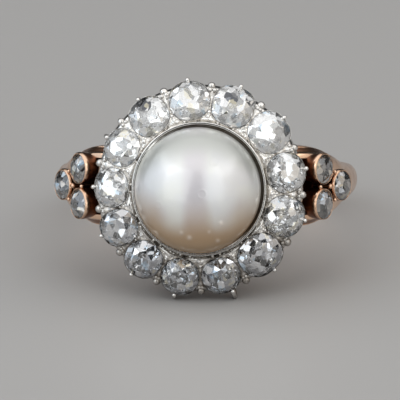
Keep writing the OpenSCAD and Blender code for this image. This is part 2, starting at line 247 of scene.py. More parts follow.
class Stone:
    """A cut stone's place and outline. Its table is the largest flat face of its mesh, its
    girdle the two levels with sixteen corners, and its outline the Fourier curve through
    the girdle's corners."""

    def __init__(self, name):
        mesh = frame["nodes"][name].data
        flat = np.zeros(len(mesh.vertices) * 3, np.float32)
        mesh.vertices.foreach_get("co", flat)
        points = to_head(flat.reshape(-1, 3).astype(float))
        mesh.calc_loop_triangles()
        index = np.zeros(len(mesh.loop_triangles) * 3, np.int32)
        mesh.loop_triangles.foreach_get("vertices", index)
        a, b, c = points[index.reshape(-1, 3)].transpose(1, 0, 2)
        area = np.cross(b - a, c - a) / 2
        size = np.linalg.norm(area, axis=1)
        facing = (area / size[:, None]).round(2)
        group = np.unique(facing, axis=0, return_inverse=True)[1].reshape(-1)
        table = area[group == np.bincount(group, size).argmax()].sum(0)
        self.out = table / np.linalg.norm(table)
        height = points @ self.out
        corners = np.unique(np.column_stack([points, height]).round(4), axis=0)
        level = corners[:, 3].round(3)
        girdle = [z for z in np.unique(level) if (level == z).sum() == GIRDLE_CORNERS]
        ring = corners[level == girdle[-1], :3]
        middle = ring.mean(0)
        self.centre = middle - self.out * (girdle[-1] - girdle[0]) / 2
        away = middle * [1, 1, 0]
        away -= self.out * (away @ self.out)
        self.away = away / np.linalg.norm(away)
        self.side = np.cross(self.out, self.away)
        flat = ring - middle
        edge = flat @ self.away + 1j * (flat @ self.side)
        edge = edge[np.angle(edge).argsort()]
        self.waves = np.fft.fft(edge) / GIRDLE_CORNERS
        self.beats = np.fft.fftfreq(GIRDLE_CORNERS, 1 / GIRDLE_CORNERS)
        self.angle = math.atan2(self.centre[1], self.centre[0])

    def outline(self, steps, grow=0.0, share=1.0):
        """Outline in the girdle plane as complex numbers: share times the Fourier curve, moved
        grow outwards along its normal."""
        s = np.linspace(0, 1, steps, endpoint=False)[:, None]
        wave = self.waves * np.exp(1j * TURN * self.beats * s)
        curve, slope = wave.sum(1), (1j * self.beats * wave).sum(1)
        return share * curve - 1j * grow * slope / abs(slope)

    def place(self, flat, height):
        """Points of the stone's own plane, as complex numbers, at a height out of it."""
        flat, height = np.broadcast_arrays(flat, height)
        return (
            self.centre
            + flat.real[..., None] * self.away
            + flat.imag[..., None] * self.side
            + height[..., None] * self.out
        )


stones = [Stone(name) for name in MAIN]


# Shader maths


class Wire:
    """One shader value. Operators on wires add Math nodes."""

    def __init__(self, finish, socket):
        self.finish = finish
        self.socket = socket

    def maths(self, operation, *values):
        return self.finish.node("ShaderNodeMath", {"operation": operation}, dict(enumerate(values)))

    def __add__(self, other):
        return self.maths("ADD", self, other)

    def __sub__(self, other):
        return self.maths("SUBTRACT", self, other)

    def __mul__(self, other):
        return self.maths("MULTIPLY", self, other)

    def __rsub__(self, other):
        return self.maths("SUBTRACT", other, self)

    __radd__ = __add__
    __rmul__ = __mul__

    def between(self, low, high):
        """0 at low and below, 1 at high and above, smooth between them."""
        settings = {"interpolation_type": "SMOOTHSTEP"}
        return self.finish.node("ShaderNodeMapRange", settings, {0: self, 1: low, 2: high})

    def sibling(self, output):
        """Another output of the same node."""
        return Wire(self.finish, self.socket.node.outputs[output])


class Finish:
    """A material and the nodes of its surface."""

    def __init__(self, name):
        self.material = bpy.data.materials.new(name)
        self.material.use_nodes = True
        self.tree = self.material.node_tree
        self.tree.nodes.clear()
        self.place = self.node("ShaderNodeTexCoord", output="Object")

    def node(self, kind, settings=None, sockets=None, output=0):
        """Adds a node of any kind. Settings are its own properties and are set first. Sockets
        are values or wires by name or number."""
        node = self.tree.nodes.new(kind)
        for name, value in (settings or {}).items():
            setattr(node, name, value)
        for name, value in (sockets or {}).items():
            if isinstance(value, Wire):
                self.tree.links.new(value.socket, node.inputs[name])
            elif node.inputs[name].type == "RGBA":
                node.inputs[name].default_value = (*value, 1.0)
            else:
                node.inputs[name].default_value = value
        return Wire(self, node.outputs[output])

    def noise(self, scale, detail, roughness, stretch=None):
        """Noise of about 1 / scale metres over the piece, 0 to 1 round a half."""
        place = self.place
        if stretch:
            place = self.node("ShaderNodeMapping", {}, {"Vector": place, "Scale": stretch})
        return self.node("ShaderNodeTexNoise", {}, {
            "Vector": place, "Scale": scale, "Detail": detail, "Roughness": roughness,
        })

    def vectors(self, operation, first, second, output=0):
        """Vector sum, difference or, as output Value, dot product."""
        settings = {"operation": operation}
        return self.node("ShaderNodeVectorMath", settings, {0: first, 1: second}, output)

    def grime_and_shade(self):
        """Worn-in darkness that a piece's points carry."""
        return self.node("ShaderNodeAttribute", {"attribute_name": "grime_and_shade"}, output="Fac")

    def along(self, axis):
        """Distance in millimetres from the finger hole's centre along an axis."""
        away = self.vectors("SUBTRACT", self.place, tuple(CENTRE))
        return self.vectors("DOT_PRODUCT", away, tuple(axis / MM), "Value")

    def mixed(self, factor, first, second):
        """Colour first where factor is 0 and second where it is 1."""
        settings = {"data_type": "RGBA"}
        return self.node("ShaderNodeMix", settings, {0: factor, 6: first, 7: second}, output=2)

    def bumps(self, height, strength, distance):
        """Normals of a height."""
        sockets = {"Height": height, "Strength": strength, "Distance": distance}
        return self.node("ShaderNodeBump", {}, sockets)

    def surfaced(self, **sockets):
        """Ends the material with a Principled surface; underscores in names are spaces."""
        shader = self.node("ShaderNodeBsdfPrincipled", {}, {
            name.replace("_", " "): value for name, value in sockets.items()
        })
        end = self.tree.nodes.new("ShaderNodeOutputMaterial")
        self.tree.links.new(shader.socket, end.inputs["Surface"])
        return self.material


# Finishes


SCRATCH_DEPTH = 1.5e-5


def silver_finish():
    """Old silver: bright where it is rubbed, grey-brown in the hollows, partly tarnish and partly
    painted shade, darker low on the ring as painted shade, and finely scratched."""
    f = Finish("worn_silver")
    rubbed, tarnish_and_shade = (0.86, 0.84, 0.81), (0.17, 0.145, 0.12)
    patches = f.noise(2600, 4.0, 0.6)
    # Painted shade: darker towards the lower part of the ring.
    low = f.along(UP_FINGER).between(3.0, -5.0)
    dark = (f.grime_and_shade() * 1.1 + (patches - 0.5) * 0.8 + low * 0.35 - 0.1).between(0.0, 1.0)
    scratch = f.noise(9000, 3.0, 0.6, stretch=(1.0, 6.0, 1.0))
    fine = f.noise(30000, 2.0, 0.5)
    return f.surfaced(
        Base_Color=f.mixed(dark, rubbed, tarnish_and_shade), Metallic=1.0,
        Roughness=0.15 + dark * 0.2 + (patches - 0.5) * 0.12,
        Normal=f.bumps(scratch * 0.6 + fine * 0.4, 0.5, SCRATCH_DEPTH),
    )


def rose_gold_finish():
    """Old rose gold: warm and rubbed bright, redder and darker in the hollows, partly tarnish
    and partly painted shade, with a painted dark reflection on the hoop's sides.
    """
    f = Finish("worn_rose_gold")
    rubbed, tarnish_and_shade = (0.87, 0.585, 0.41), (0.19, 0.08, 0.042)
    patches = f.noise(1500, 4.0, 0.6)
    # Darkness from each point: tarnish, painted shade and a painted dark reflection.
    dark = (f.grime_and_shade() + (patches - 0.5) * 0.6).between(0.1, 1.0)
    scratch = f.noise(7000, 3.0, 0.6, stretch=(1.0, 1.0, 5.0))
    return f.surfaced(
        Base_Color=f.mixed(dark, rubbed, tarnish_and_shade), Metallic=1.0,
        Roughness=0.17 + dark * 0.15 + (patches - 0.5) * 0.1,
        Normal=f.bumps(scratch, 0.3, SCRATCH_DEPTH),
    )


def nacre_finish():
    """Pearl: cool cream nacre. Its middle is pinker and darker, partly its pink overtone and
    partly a painted dark reflection between the highlights. Painted shade makes it greyer at
    its top and tan towards its lower edge. On each side of the middle a pale band, a painted
    reflection of the light panels, reaches further down. Blemishes, which the mesh marks in its
    per-point attribute, are a pale pink, partly their own tone and partly a painted highlight
    on each pimple."""
    f = Finish("nacre")
    warm_cream, cool_cream = (0.76, 0.76, 0.725), (0.73, 0.73, 0.74)
    pink, shaded_grey = (0.67, 0.63, 0.665), (0.50, 0.51, 0.48)
    tan, blemish_and_highlight = (0.44, 0.29, 0.16), (0.86, 0.76, 0.68)
    up, across = f.along(UP_FINGER), f.along(ACROSS)
    aside = across * across
    clouds = f.noise(420, 3.0, 0.5)
    colour = f.mixed(clouds.between(0.35, 0.65), warm_cream, cool_cream)
    # Partly the pink overtone, partly a painted dark reflection: pinker and darker in the middle.
    middle = 1 - (across + 0.15) * (across + 0.15)
    colour = f.mixed(middle.between(0.1, 1.0) * 0.7, colour, pink)
    # Painted shade: greyer towards the top.
    high = up + aside * 0.12
    colour = f.mixed(high.between(1.7, 3.1) * high.between(4.0, 3.2), colour, shaded_grey)
    # Painted reflection of the light panels: two pale bands reach down on each side of the middle.
    bands = aside.between(0.05, 1.3) * aside.between(7.0, 1.4) * up.between(-3.2, -1.7)
    # Painted shade: tan towards the lower edge, held back in the painted bands.
    low = clouds * 0.8 + aside * 0.05 - bands * 0.85 - up + 0.15
    colour = f.mixed(low.between(0.7, 3.7), colour, tan)
    # Blemishes in pale pink, partly their own tone and partly a painted highlight on each pimple.
    return f.surfaced(
        Base_Color=f.mixed(f.grime_and_shade() * 0.65, colour, blemish_and_highlight), Roughness=0.38, Metallic=0.36,
        Normal=f.bumps(f.noise(4200, 4.0, 0.6), 0.12, 2e-5),
        Coat_Weight=0.5, Coat_Roughness=0.12, Coat_IOR=1.9,
    )


DIAMOND_IOR = 2.417
FACETS_PER_METRE = 2500
LOWER_TILT = 0.6
LOWER_DARK = 0.72

# Places where two stones are painted dark, as if showing dark surroundings.
PAINTED_DARK_WINDOWS = [
    # x, a, size
    (-3.5, 5.15, 0.7),
    (2.0, 5.6, 0.6),
]


def diamond_finish(name, upper, lower, roughness, upper_tilt, upper_dark, clear=1.0):
    """Clear old diamond, greyer low on the ring as painted shade, with faint coloured flecks of
    painted fire and two painted dark windows where dark surroundings would show. Small flat
    facets cover it: within each cell the height's slope is the cell's colour less a half, so
    that each cell is tilted its own way. Most cells mirror the light as the back of a cut
    stone does, the others are clear, and some are darker with painted shade. The facets' tilt
    and painted darkness change from low on the ring to its upper part."""
    f = Finish(name)
    shaded, window_shade = (0.27, 0.275, 0.30), (0.09, 0.095, 0.11)
    blue, yellow = (0.55, 0.78, 0.98), (0.98, 0.90, 0.66)
    up, across = f.along(UP_FINGER), f.along(ACROSS)
    # Painted shade: stones low on the ring are greyer.
    height = up.between(-6.0, 1.0)
    colour = f.mixed(height, lower, upper)
    sockets = {"Vector": f.place, "Scale": FACETS_PER_METRE}
    cells = f.node("ShaderNodeTexVoronoi", {}, sockets, output="Color")
    facet = f.node("ShaderNodeSeparateColor", {}, {"Color": cells})
    # Painted shade: some facet cells are darker, more so low on the ring.
    darker = facet.between(0.50, 0.62) * (LOWER_DARK - height * (LOWER_DARK - upper_dark))
    colour = f.mixed(darker, colour, shaded)
    # Painted dark windows: a painted reflection of dark surroundings.
    for x, a, size in PAINTED_DARK_WINDOWS:
        away = (across - x) * (across - x) + (up - a) * (up - a) + facet * 0.25
        colour = f.mixed(away.between(0.5 * size, 0.44 * size), colour, window_shade)
    # Painted fire: faint blue and yellow flecks.
    painted_fire = f.noise(1300, 2.0, 0.5)
    colour = f.mixed(painted_fire.between(0.60, 0.66) * 0.5, colour, blue)
    colour = f.mixed(painted_fire.between(0.40, 0.35) * 0.5, colour, yellow)
    tilt = f.vectors("SUBTRACT", cells, (0.5, 0.5, 0.5))
    from_middle = f.vectors("SUBTRACT", f.place, cells.sibling("Position"))
    slope = f.vectors("DOT_PRODUCT", tilt, from_middle, "Value")
    return f.surfaced(
        Base_Color=colour, Roughness=roughness, IOR=DIAMOND_IOR, Transmission_Weight=clear,
        Metallic=facet.sibling("Green").between(0.4, 0.42) * 0.65,
        Normal=f.bumps(slope * (LOWER_TILT - height * (LOWER_TILT - upper_tilt)), 1.0, 1.0),
    )


def floor_finish():
    """Plain pale board."""
    f = Finish("pale_board")
    tooth = f.bumps(f.noise(900, 4.0, 0.6), 0.05, 5e-5)
    return f.surfaced(Base_Color=(0.42, 0.41, 0.40), Roughness=0.45, Normal=tooth)


silver = silver_finish()
rose_gold = rose_gold_finish()
nacre = nacre_finish()
WHITE = (0.99, 0.99, 0.99)
# Greyer white of the stones low on the ring: painted shade.
SHADED_WHITE = (0.84, 0.84, 0.86)
SMOKY = (0.60, 0.58, 0.56)
diamond = diamond_finish("diamond", WHITE, SHADED_WHITE, 0.06, 0.22, 0.04)
cloudy_diamond = diamond_finish("cloudy_diamond", WHITE, SHADED_WHITE, 0.06, 0.22, 0.04, 0.75)
grey_diamond = diamond_finish("grey_diamond", SMOKY, SMOKY, 0.08, 0.8, 0.7)
board = floor_finish()

UPPERMOST = MAIN[:4] + MAIN[12:]
for names, finish in ((MAIN, diamond), (UPPERMOST, cloudy_diamond), (SMALL, grey_diamond)):
    for name in names:
        frame["nodes"][name].material_slots[0].material = finish


# Pearl and its collet


PEARL_SIDES = 320
DOME_ROWS = 130
UNDER_ROWS = 50
HOLE_R = PEG_R + 0.05
UNEVEN = 0.006
MARK_HEIGHT = 0.009
MARK_WIDTH = 0.06

PIMPLES = [
    # x, a, width, height
    (-0.93, -2.51, 0.24, 0.045),
    (-0.45, -2.81, 0.27, 0.055),
    (0.77, -2.45, 0.20, 0.035),
    (1.51, -1.94, 0.29, 0.065),
    (1.27, -3.02, 0.24, 0.045),
]

RING_MARKS = [
    # x, a, radius
    (-2.35, -0.82, 0.2),
    (0.35, -0.1, 0.25),
    (1.1, 1.8, 0.25),
]


def pearl():
    """Dome and underside are half ellipses, n = h sqrt(1 - (r / R)^2). Each pimple adds
    height exp(-(distance / half width)^2), each faint mark a low ring, and long waves keep
    the dome a little uneven."""
    top = np.radians(np.linspace(90, 0, DOME_ROWS))
    below = np.linspace(0, -math.acos(HOLE_R / PEARL_R), UNDER_ROWS)[1:]
    q = np.concatenate([top, below])
    rise = np.where(q > 0, PEARL_UP, PEARL_DOWN)
    profile = np.column_stack([PEARL_R * np.cos(q), rise * np.sin(q)])
    hole = [(HOLE_R, PEG_TOP - PEARL_N), (0.0, PEG_TOP - PEARL_N)]
    points = revolve(np.concatenate([profile, hole]), PEARL_SIDES)
    x, a, n = np.moveaxis(points, -1, 0)
    lift = UNEVEN * np.sin(1.7 * x + 0.6) * np.cos(1.3 * a - 0.4)
    pimples = 0 * x
    for px, pa, width, height in PIMPLES:
        pimples += height * np.exp(-((x - px) ** 2 + (a - pa) ** 2) / (width / 2) ** 2)
    for px, pa, size in RING_MARKS:
        away = np.hypot(x - px, a - pa) - size
        lift += MARK_HEIGHT * np.exp(-(away / MARK_WIDTH) ** 2)
    pimples = pimples * (n > 0)
    # Each pimple's share of its height paints it pale: blemish tone and painted highlight.
    spots = pimples / max(height for *_, height in PIMPLES)
    points[..., 2] += lift * (n > 0) + pimples
    piece = Casting("button_pearl")
    piece.grid(points + PEARL_PLACE, capped=False, grime_and_shade=spots)
    piece.made(nacre, ["pearl"], sharp=60)


COLLET_SIDES = 160
LIP_INNER_POINTS = 8

SHELF = np.array([
    # share of the way from the rim to the pearl, depth, more depth where shaded, grime and painted
    # shade there
    (0.0, 0.0, 0.15, 0.9),
    (0.35, 0.0, 0.13, 0.9),
    (0.5, 0.0, 0.10, 0.6),
    (0.65, 0.01, 0.13, 0.9),
    (1.0, 0.03, 0.15, 0.9),
    (1.0, 0.24, 0.0, 1.0),
    (0.0, 0.24, 0.0, 1.0),
])


def pearl_collet():
    """Bowl with an upright rim that spreads a little at its top, a narrow shelf from the rim
    to the pearl's edge, and the peg in its middle. Along the upper right the shelf lies
    deeper and is darker with painted shade. The inside of the lip is darker, partly tarnish
    and partly painted shade."""
    bowl_r = RIM_R - RIM_WALL
    bowl_down = PEARL_N - CUP_BOTTOM - 0.3
    outside = eased([
        (0.0, CUP_BOTTOM, 0), (2.6, CUP_BOTTOM, 0.3), (RIM_R - 0.51, CUP_BOTTOM + 0.7, 0.4),
        (RIM_R - 0.05, 11.2, 0.6), (RIM_R, RIM_N - 0.3, 0.1), (RIM_TOP_R, RIM_N - 0.13, 0.03),
        (RIM_TOP_R, RIM_N - 0.03, 0.03), (RIM_TOP_R - 0.04, RIM_N, 0.02),
        (RIM_TOP_R - 0.13, RIM_N, 0.03), (bowl_r + 0.03, RIM_N - 0.05, 0.03),
        (bowl_r + 0.03, RIM_N - 0.22, 0.02), (bowl_r, RIM_N - 0.24, 0.0),
    ])
    q = np.radians(np.linspace(-1, -84, 14))
    inside = np.column_stack([bowl_r * np.cos(q), PEARL_N + bowl_down * np.sin(q)])
    peg = [
        (PEG_R, CUP_BOTTOM + 0.31), (PEG_R, PEG_TOP - 0.12),
        (PEG_R - 0.08, PEG_TOP - 0.1), (0.0, PEG_TOP - 0.1),
    ]
    points = revolve(np.concatenate([outside, inside, peg]), COLLET_SIDES)
    angle = circle(COLLET_SIDES)
    uneven = 0.012 * np.sin(3 * angle + 0.7) + 0.008 * np.sin(7 * angle)
    points[..., 2] += smoothstep(12.3, 12.9, points[..., 2]) * uneven
    # Inside of the lip darker than the outside: tarnish and painted shade.
    hollow = np.arange(len(points)) >= len(outside) - LIP_INNER_POINTS
    piece = Casting("pearl_collet")
    piece.grid(points, capped=False, grime_and_shade=np.where(hollow, 0.8, 0.25)[:, None])
    across, depth, sunk, grime_and_shade = SHELF.T[:, :, None]
    # Painted shade on the shelf along the upper right, where it also lies deeper.
    shaded = smoothstep(-0.5, 0.6, np.cos(angle - math.radians(40)))
    edge_r = PEARL_R - 0.013 + 0.025 * shaded
    flat = (bowl_r + 0.04) * np.exp(1j * angle) * (1 - across)
    flat = flat + across * (edge_r * np.exp(1j * angle) + complex(*PEARL_PLACE[:2]))
    height = RIM_N - 0.02 - depth - sunk * shaded
    piece.grid(np.stack([flat.real, flat.imag, height], -1), loop_u=True, grime_and_shade=grime_and_shade * shaded)
    piece.made(silver, ["pearl_cup"], sharp=50)


# Cluster of diamonds


COLLET_WALL = 0.13
LIP = 0.015
EDGE_STEPS = 72
FINE_STEPS = 360

UNEVEN_WAVES = [
    # waves round the lip, shift from one stone to the next, height
    (3, 0.31, 0.007),
    (7, 0.17, 0.006),
]

WEAR_WAVES = [
    # waves round the lip, shift from one stone to the next, strength
    (5, 0.13, 1),
    (8, 0.29, 1),
    (13, 0.71, 1),
]


def waved(table, s, i):
    """Sum of size sin(2 pi (waves s + shift i)) over a table's rows, for stone i at shares s
    of the way round its lip."""
    return sum(size * np.sin(TURN * (waves * s + shift * i)) for waves, shift, size in table)


def collets(piece):
    """Cup under each main stone: its outline carried down from the lip, outside and inside,
    as a loft of grown or shrunk copies at stated heights. The lip is cut down so far that
    the stone's edge shows all round. Waves round the lip leave it uneven and, with wear, dark
    in places. Down the walls it darkens, partly tarnish and partly painted shade, and inside,
    the lower collets are darker than the upper ones with painted shade."""
    #     share, grow, height, grime and painted shade
    outside = [
        (0.60, COLLET_WALL * 0.6, -1.42, 1.0), (0.80, COLLET_WALL * 0.8, -0.95, 0.9),
        (0.95, COLLET_WALL * 0.9, -0.42, 0.7), (1.0, COLLET_WALL * 0.7, -0.2, 0.5),
        (1.0, 0.07, -0.13, 0.3), (1.0, 0.055, -0.07, 0.15), (1.0, 0.045, -0.02, 0.1),
        (1.0, 0.035, LIP - 0.01, 0.0), (1.0, 0.03, LIP, 0.0), (1.0, 0.022, LIP, 0.0),
    ]
    inside = [
        (1.0, 0.018, LIP - 0.02, 0.4), (1.0, STONE_GAP, -0.06, 0.6), (0.60, STONE_GAP, -0.46, 0.5),
        (0.30, STONE_GAP, -0.92, 0.7), (0.30, STONE_GAP, -1.42, 1.0),
    ]
    rows = outside + inside
    height, grime_and_shade = np.array(rows).T[2:, :, None]
    near_lip = smoothstep(-0.14, LIP, height)
    is_inside = np.arange(len(rows))[:, None] >= len(outside)
    s = np.linspace(0, 1, EDGE_STEPS, endpoint=False)
    for i, stone in enumerate(stones):
        flat = np.array([stone.outline(EDGE_STEPS, grow, share) for share, grow, _, _ in rows])
        points = stone.place(flat, height + near_lip * waved(UNEVEN_WAVES, s, i))
        # Painted shade: inside, the lower collets are darker than the upper ones.
        shaded = np.where(is_inside, 0.55 - 0.45 * math.sin(stone.angle), 1)
        wear_and_shade = smoothstep(0.2, 1.4, waved(WEAR_WAVES, s, i))
        piece.grid(points, loop_u=True, grime_and_shade=grime_and_shade * shaded + near_lip * 0.5 * wear_and_shade)


def half_turn(angle):
    """The same angle within half a turn of zero."""
    return np.angle(np.exp(1j * angle))


def facing_edges(stone, reach):
    """Angles of a collet's two sides, as seen from the head's axis, at given reaches, with
    the lip's height at each: (higher angle, its height, lower angle, its height)."""
    lip = stone.place(stone.outline(FINE_STEPS, 0.045), LIP)
    r = np.hypot(lip[:, 0], lip[:, 1])
    turn = half_turn(np.arctan2(lip[:, 1], lip[:, 0]) - stone.angle)
    found = []
    for sign in (1, -1):
        side = turn * sign >= 0
        order = r[side].argsort()
        found.append(stone.angle + np.interp(reach, r[side][order], turn[side][order]))
        found.append(np.interp(reach, r[side][order], lip[side, 2][order]))
    return found


def gap_before(i, reach):
    """Gap between the collets of a main stone and the one before it, at given reaches: angle
    of its lower side, width as an angle, and the lips' heights at its lower and higher side."""
    _, _, high, high_n = facing_edges(stones[i - 1], reach)
    low, low_n, _, _ = facing_edges(stones[i], reach)
    return low, half_turn(high - low), low_n, high_n


WEDGE_REACH = 6.34
REACH_STEPS = 120
WEDGE_ROWS = 22
NECK_WIDTH = 0.03


def inner_top(r, i, ridge):
    """Lift and darkness of a wedge's top towards the pearl: a ridge cut into slanting facets.
    The darkness, partly tarnish and partly painted shade, grows off the ridge and on the facets.
    """
    facet = abs((r * 3.1 + 0.37 * i) % 1 - 0.5) * 0.14
    lift = 0.10 * ridge + facet * ridge - 0.25 * smoothstep(4.35, 4.1, r) - 0.11
    return lift, 0.25 * (1 - ridge) + 1.5 * facet


def outer_top(r, i, ridge):
    """Lift and darkness of a wedge's top outside: nearly flat with a raised bright edge. The
    darkness is partly tarnish and partly painted shade.
    """
    edge = smoothstep(6.02, 6.16, r)
    facet = abs((r * 2.3 + 0.29 * i) % 1 - 0.5) * 0.1 * (1 - edge)
    lift = -0.08 + 0.06 * edge - 0.3 * smoothstep(6.2, WEDGE_REACH, r) + 0.02 * ridge + facet
    return lift, 0.25 - 0.25 * edge + 0.3 * (1 - ridge) + 2.0 * facet


def wedges(piece):
    """Metal between neighbouring collets, one solid towards the pearl and one outside, on
    the two sides of the neck where the collets touch or, where they don't, of the middle. At
    each reach its top runs from one collet's side to the other's."""
    across = np.linspace(0, 1, 9)
    ridge = 1 - abs(2 * across - 1)
    reach = np.linspace(RIM_R + 0.05, WEDGE_REACH, REACH_STEPS)
    for i in range(len(stones)):
        low, width, low_n, high_n = gap_before(i, reach)
        neck = np.flatnonzero(width * reach <= NECK_WIDTH)
        inner_end, outer_start = REACH_STEPS // 2 - 1, REACH_STEPS // 2
        if len(neck):
            inner_end, outer_start = neck[0] - 1, neck[-1] + 1
        spans = [(inner_top, 0, inner_end), (outer_top, outer_start, REACH_STEPS - 1)]
        for shaped, first, last in spans:
            keep = np.linspace(first, last, WEDGE_ROWS).astype(int)
            r = reach[keep][:, None]
            angle = low[keep][:, None] + width[keep][:, None] * across
            edge_n = low_n[keep][:, None] * (1 - across) + high_n[keep][:, None] * across
            lift, grime_and_shade = shaped(r, i, ridge)
            top = np.stack([r * np.cos(angle), r * np.sin(angle), edge_n + lift], -1)
            bottom = top.copy()[:, ::-1]
            bottom[..., 2] = np.minimum(bottom[..., 2] - 0.15, PLATE_N + 0.5)
            # Painted shade: the wedge's underside is fully dark.
            grime_and_shade = np.concatenate([grime_and_shade, np.ones_like(grime_and_shade)], 1)
            piece.grid(np.concatenate([top, bottom], 1), grime_and_shade=grime_and_shade)


CLAW_REACH = 6.6
CLAW_N = 11.0
CLAW_R = 0.14
CLAW_TIP_R = 0.14
FOOT_DROP = 6.68
FOOT_R = 0.16
CLAW_STEPS = 9
LOWEST = (7, 8)
CLAW_TURN = {3: 1, 5: 1, 7: 4, 8: -1, 12: -1}


def claws(piece):
    """Claw of each main stone: a bar from the plate out to its foot and up over the stone's
    outermost edge, in one plane through the head's axis. Some claws are turned by a few
    degrees from their stone's middle, and the feet of the lowest two reach down to a line on
    which the ring rests."""
    for i, stone in enumerate(stones):
        angle = stone.angle + math.radians(CLAW_TURN.get(i, 0))
        out = np.array([math.cos(angle), math.sin(angle), 0])
        side = np.array([-math.sin(angle), math.cos(angle), 0])
        size = FOOT_R if i in LOWEST else CLAW_R
        foot_reach = FOOT_DROP / -math.sin(angle) if i in LOWEST else CLAW_REACH
        edge = stone.place(stone.outline(FINE_STEPS, 0.05), 0.11)
        bearing = abs(np.angle((edge[:, 0] + 1j * edge[:, 1]) * np.exp(-1j * angle)))
        outside = np.hypot(edge[:, 0], edge[:, 1]) > np.hypot(*stone.centre[:2])
        tip = edge[np.where(outside, bearing, TURN).argmin()]
        root = out * 5.9 + [0, 0, PLATE_N + 0.35]
        foot = out * foot_reach + [0, 0, CLAW_N]
        bend = out * (foot_reach + 0.04) + [0, 0, CLAW_N + 0.32]
        t = np.linspace(0, 1, CLAW_STEPS)[:, None]
        lower = root + (foot - root) * t[:-1]
        upper = (1 - t) ** 2 * foot + 2 * t * (1 - t) * bend + t ** 2 * tip
        lower_r = np.linspace(size + 0.04, size, len(lower))
        upper_r = np.linspace(size, CLAW_TIP_R, len(upper))
        bar = rod(np.concatenate([lower, upper]), np.concatenate([lower_r, upper_r]), side)
        # Darker towards the root at the plate, none at the tip: tarnish and painted shade.
        piece.grid(bar, grime_and_shade=np.linspace(0.9, 0.0, len(bar))[:, None])


def beads(piece):
    """Grains between neighbours: a large one at the outer edge with a smaller one on each
    side above it, and a row of small ones towards the pearl's collet. Each is a little off
    its place, size and roundness, and darker towards its foot with painted shade."""
    uneven = np.random.default_rng(7)
    #   reach, share of the way across, depth below the lips, radius
    outer = [(6.32, 0.5, 0.12, 0.25), (6.1, 0.28, 0.03, 0.14), (6.1, 0.72, 0.03, 0.14)]
    inner = [
        (4.46, 0.5, 0.06, 0.16), (4.76, 0.5, 0.04, 0.12), (5.0, 0.5, 0.05, 0.08),
        (4.26, 0.5, 0.14, 0.1), (4.28, 0.3, 0.14, 0.1), (4.28, 0.7, 0.14, 0.1),
        (4.2, 0.14, 0.16, 0.09), (4.2, 0.86, 0.16, 0.09),
        (4.5, 0.2, 0.08, 0.08), (4.5, 0.8, 0.08, 0.08),
    ]
    places = outer + inner
    reach = np.array([place[0] for place in places])
    # Painted shade: each grain is darker towards its foot.
    grime_and_shade = np.linspace(0, 1, ball_rows(BALL_SIDES))[:, None] ** 1.3
    for i in range(len(stones)):
        low, width, low_n, high_n = gap_before(i, reach)
        for k, (r, share, depth, size) in enumerate(places):
            share += uneven.uniform(-0.07, 0.07)
            angle = low[k] + width[k] * share
            n = low_n[k] * (1 - share) + high_n[k] * share - depth + uneven.uniform(-0.03, 0.02)
            out = [math.cos(angle), math.sin(angle), uneven.uniform(0.6, 2.4)]
            if k < len(outer):
                size *= uneven.uniform(0.93, 1.05)
                wear_and_shade = 0.3 + 0.7 * grime_and_shade
            else:
                size *= uneven.uniform(0.75, 1.1)
                wear_and_shade = grime_and_shade
            flat = uneven.uniform(0.75, 1.0)
            middle = [r * math.cos(angle), r * math.sin(angle), n]
            piece.grid(ball(middle, size, BALL_SIDES, flat, out), capped=False, grime_and_shade=wear_and_shade)


PLATE_SIDES = 120


def plate(piece):
    """Base plate with its bevelled edge and the wall round the pearl's collet."""
    inner = RIM_R + 0.03
    profile = eased([
        (inner, PLATE_N, 0.05), (5.7, PLATE_N, 0.05), (6.05, PLATE_N + 0.35, 0.1),
        (5.9, PLATE_N + 0.6, 0.1), (inner + 0.66, PLATE_N + 0.6, 0.1), (inner + 0.66, 12.0, 0.1),
        (inner + 0.14, 12.25, 0.05), (inner, 12.25, 0.0),
    ])
    # Evenly darkened under the stones: tarnish and painted shade.
    piece.grid(revolve(profile, PLATE_SIDES), loop_u=True, grime_and_shade=0.6)


def cluster_setting():
    """Collets, wedges, claws, beads and plate as one casting."""
    piece = Casting("silver_cluster")
    plate(piece)
    collets(piece)
    wedges(piece)
    claws(piece)
    beads(piece)
    piece.made(silver, ["cluster_setting"])


# Band, shoulders and trefoils


HEAD_HALF_W = 2.55
GALLERY_SIDES = 96

BAND = np.array([
    # angle from the head, half width, outer radius, squareness of the outer curve
    (0, HEAD_HALF_W, HEAD_SEAT, 6),
    (14, HEAD_HALF_W, 10.72, 6),
    (27, HEAD_HALF_W, 11.6, 6),
    (36, 2.52, 11.62, 5.5),
    (43, 2.33, 11.3, 4.5),
    (52, 1.93, 10.7, 3.6),
    (64, 1.37, 9.98, 2.8),
    (80, 1.05, SIDE_R + 0.05, 2.3),
    (100, 0.95, SIDE_R, 2),
    (180, 0.95, SIDE_R + 0.1, 2),
])


def hermite(angle, table):
    """Smooth values of the table's other columns at angles: a cubic through the rows, with
    slopes from their neighbours and level ends."""
    knot, value = table[:, 0], table[:, 1:]
    slope = np.zeros_like(value)
    slope[1:-1] = (value[2:] - value[:-2]) / (knot[2:] - knot[:-2])[:, None]
    row = np.clip(np.searchsorted(knot, angle, "right") - 1, 0, len(knot) - 2)
    run = (knot[row + 1] - knot[row])[:, None]
    s = (angle - knot[row])[:, None] / run
    low, high = value[row], value[row + 1]
    bend = slope[row] * (1 - s) - slope[row + 1] * s
    return low * (1 + 2 * s) * (1 - s) ** 2 + high * s * s * (3 - 2 * s) + run * s * (1 - s) * bend


